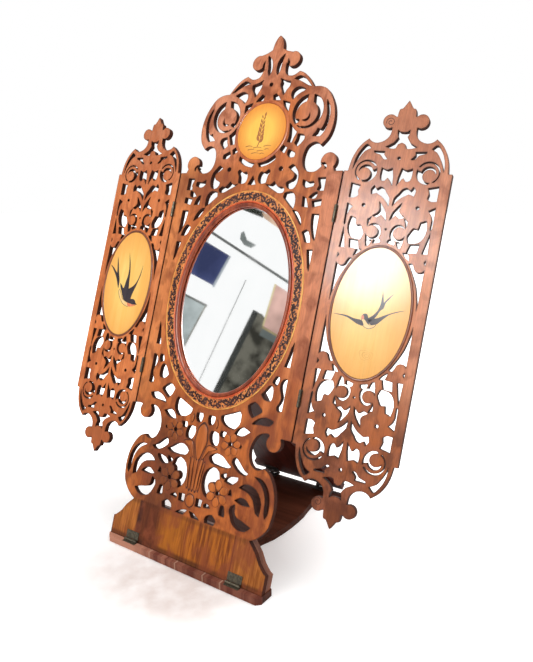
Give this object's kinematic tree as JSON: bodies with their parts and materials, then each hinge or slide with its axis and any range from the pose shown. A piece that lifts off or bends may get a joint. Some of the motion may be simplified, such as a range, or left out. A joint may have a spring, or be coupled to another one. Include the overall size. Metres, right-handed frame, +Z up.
{
  "type": "triptych vanity mirror",
  "caption": "Folding table mirror with a fretwork centre panel, oval glass, two hinged fretwork wings with pale medallions, a foot board and a rear strut.",
  "frame": {"origin": "on the underside of the foot board, below the middle of the plinth's front bottom edge", "axes": "+X to the mirror's right as seen from the front, +Y to its back, +Z up"},
  "size_m": [0.3768, 0.2194, 0.4869],
  "materials": {
    "fret_wood": "varnished walnut fretwork",
    "plinth_wood": "varnished figured walnut",
    "rosewood_moulding": "dark red-brown varnished moulding",
    "bead_wood": "red-orange varnished bead",
    "inlay_wood": "dark foliate pattern on orange wood",
    "stringing_wood": "pale boxwood line",
    "mirror_glass": "silvered glass",
    "backboard_wood": "plain dark wood",
    "medallion_wood": "pale polished olive wood",
    "rim_wood": "dark wood rim",
    "foot_wood": "dark varnished walnut",
    "strut_wood": "near-black red varnished wood",
    "aged_brass": "aged brass",
    "black_iron": "black japanned iron"
  },
  "bodies": {
    "foot": {"foot_board": "foot_wood", "foot_front_leaves": "aged_brass", "foot_front_screws": "aged_brass", "plinth_hinge_pins": "aged_brass", "foot_rear_leaves": "black_iron", "foot_rear_screws": "black_iron", "strut_hinge_pins": "black_iron"},
    "centre": {"centre_panel": "fret_wood", "plinth_back_board": "plinth_wood", "mirror_rim": "rosewood_moulding", "mirror_fillet": "bead_wood", "inlay_band": "inlay_wood", "inlay_stringing": "stringing_wood", "mirror_glass": "mirror_glass", "mirror_backboard": "backboard_wood", "backboard_pins": "aged_brass", "crest_medallion": "medallion_wood", "crest_rim": "rim_wood", "prop_ledge": "strut_wood", "prop_ledge_pins": "aged_brass", "centre_hinge_leaves": "aged_brass", "wing_hinge_pins": "aged_brass", "centre_hinge_screws": "aged_brass", "plinth_hinge_leaves": "aged_brass", "plinth_hinge_screws": "aged_brass"},
    "left_wing": {"left_wing_panel": "fret_wood", "left_medallion": "medallion_wood", "left_medallion_rim": "rim_wood", "left_hinge_leaves": "aged_brass", "left_hinge_screws": "aged_brass"},
    "right_wing": {"right_wing_panel": "fret_wood", "right_medallion": "medallion_wood", "right_medallion_rim": "rim_wood", "right_hinge_leaves": "aged_brass", "right_hinge_screws": "aged_brass"},
    "strut": {"strut_board": "strut_wood", "strut_hinge_leaves": "black_iron", "strut_hinge_screws": "black_iron"}
  },
  "joints": [
    {"name": "panel_fold", "type": "hinge", "parent": "foot", "child": "centre", "pos_m": [0, -0.00145, 0.00845], "axis": [1, 0, 0], "range_deg": [0, 110]},
    {"name": "left_wing_fold", "type": "hinge", "parent": "centre", "child": "left_wing", "pos_m": [-0.09505, -0.00146, 0.00753], "axis": [0, 0.342, 0.9397], "range_deg": [-8.4, 181]},
    {"name": "right_wing_fold", "type": "hinge", "parent": "centre", "child": "right_wing", "pos_m": [0.09505, -0.00146, 0.00753], "axis": [0, -0.342, -0.9397], "range_deg": [-1.3, 188]},
    {"name": "strut_fold", "type": "hinge", "parent": "foot", "child": "strut", "pos_m": [0, 0.20855, 0.00845], "axis": [-1, 0, 0], "range_deg": [0, 126]}
  ]
}
